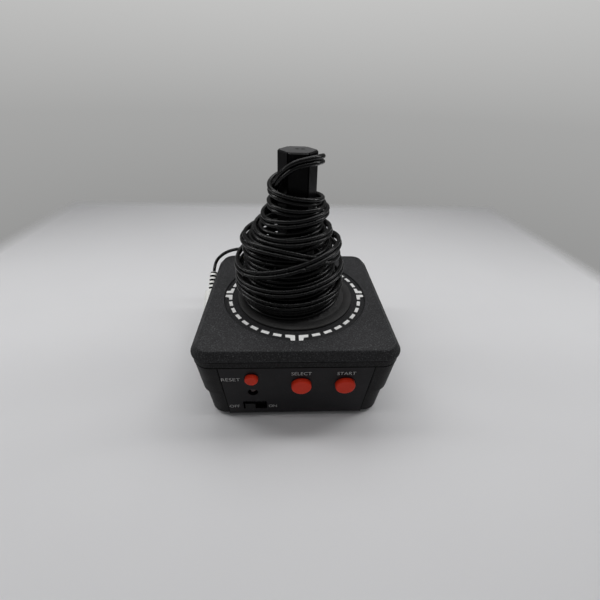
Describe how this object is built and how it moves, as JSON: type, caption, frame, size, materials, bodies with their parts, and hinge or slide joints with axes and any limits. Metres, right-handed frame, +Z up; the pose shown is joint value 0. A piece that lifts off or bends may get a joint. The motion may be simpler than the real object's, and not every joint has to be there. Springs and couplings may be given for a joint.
{
  "type": "plug and play game controller",
  "caption": "Square table-top game controller: tilting six-sided stick in a rubber boot, push buttons, slide switch, battery bay and a twin phono lead wound round the stick.",
  "frame": {"origin": "middle of the base, on the surface that its rubber feet stand on", "axes": "+Z up along the stick, -Y out of the button panel, +X to the right seen from the front"},
  "size_m": [0.1141, 0.1268, 0.1313],
  "materials": {
    "cover_plastic": "fine grain, charcoal",
    "case_plastic": "fine grain, black",
    "panel_plastic": "smooth satin black",
    "mark_white": "printed white",
    "button_red": "satin red",
    "fire_red": "satin red",
    "lamp_red": "tinted, unlit",
    "knob_black": "ribbed black",
    "switch_case": "moulded",
    "grip_black": "satin black",
    "core_plastic": "natural acetal",
    "boot_rubber": "matt black",
    "dome_rubber": "milky silicone",
    "foot_rubber": "matt black",
    "grommet_rubber": "satin black",
    "board": "brown laminate",
    "steel": "plated",
    "cell": "plain sleeve",
    "lead_sheath": "satin black sheath",
    "plug_white": "satin white",
    "plug_yellow": "satin yellow",
    "plug_metal": "bright nickel"
  },
  "bodies": {
    "base": {"top_cover": "cover_plastic", "bottom_case": "case_plastic", "front_panel": "panel_plastic", "ring_marks": "mark_white", "power_lamp": "lamp_red", "power_switch_body": "switch_case", "fire_switch": "switch_case", "direction_switches": "switch_case", "pivot_holder": "core_plastic", "rubber_boot": "boot_rubber", "reset_dome": "dome_rubber", "select_dome": "dome_rubber", "start_dome": "dome_rubber", "rubber_feet": "foot_rubber", "cable_grommet": "grommet_rubber", "main_board": "board", "button_board": "board", "fire_board": "board", "case_screws": "steel", "holder_screws": "steel", "board_screws": "steel", "fire_return_spring": "steel", "contact_springs": "steel", "contact_plates": "steel", "battery_1": "cell", "battery_2": "cell", "battery_3": "cell", "battery_4": "cell", "audio_lead_root": "lead_sheath", "audio_winding": "lead_sheath", "audio_lead_end": "lead_sheath", "video_lead_root": "lead_sheath", "video_winding": "lead_sheath", "video_lead_end": "lead_sheath", "audio_plug": "plug_white", "video_plug": "plug_yellow", "audio_plug_shell": "plug_metal", "audio_plug_pin": "plug_metal", "video_plug_shell": "plug_metal", "video_plug_pin": "plug_metal"},
    "pivot_ring": {"pivot_ring": "core_plastic"},
    "stick": {"stick_core": "core_plastic", "stick_grip": "grip_black"},
    "reset_key": {"reset_button": "button_red"},
    "select_key": {"select_button": "button_red"},
    "start_key": {"start_button": "button_red"},
    "fire_key": {"fire_button": "fire_red"},
    "switch_slider": {"power_switch_knob": "knob_black"},
    "door": {"battery_door": "case_plastic", "door_screw": "steel"}
  },
  "joints": [
    {"name": "stick_sideways", "type": "hinge", "parent": "base", "child": "pivot_ring", "pos_m": [0, 0, 0.0415], "axis": [0, 1, 0], "range_deg": [-8, 8], "stiffness_Nm_per_rad": 1},
    {"name": "stick_fore_aft", "type": "hinge", "parent": "pivot_ring", "child": "stick", "pos_m": [0, 0, 0.0415], "axis": [1, 0, 0], "range_deg": [-8, 8], "stiffness_Nm_per_rad": 1, "deforming": ["rubber_boot", "audio_winding", "video_winding"]},
    {"name": "reset_press", "type": "slide", "parent": "base", "child": "reset_key", "axis": [0, 1, 0], "range_m": [0, 0.0012], "stiffness_N_per_m": 1200, "springref_m": -0.0005, "deforming": ["reset_dome"]},
    {"name": "select_press", "type": "slide", "parent": "base", "child": "select_key", "axis": [0, 1, 0], "range_m": [0, 0.0012], "stiffness_N_per_m": 1200, "springref_m": -0.0005, "deforming": ["select_dome"]},
    {"name": "start_press", "type": "slide", "parent": "base", "child": "start_key", "axis": [0, 1, 0], "range_m": [0, 0.0012], "stiffness_N_per_m": 1200, "springref_m": -0.0005, "deforming": ["start_dome"]},
    {"name": "fire_press", "type": "slide", "parent": "base", "child": "fire_key", "axis": [0, 0, -1], "range_m": [0, 0.0015], "stiffness_N_per_m": 900, "springref_m": -0.0008, "deforming": ["fire_return_spring"]},
    {"name": "power_slide", "type": "slide", "parent": "base", "child": "switch_slider", "axis": [1, 0, 0], "range_m": [0, 0.005]},
    {"name": "battery_door_lift", "type": "slide", "parent": "base", "child": "door", "axis": [0, 0, -1], "range_m": [0, 0.015]}
  ]
}
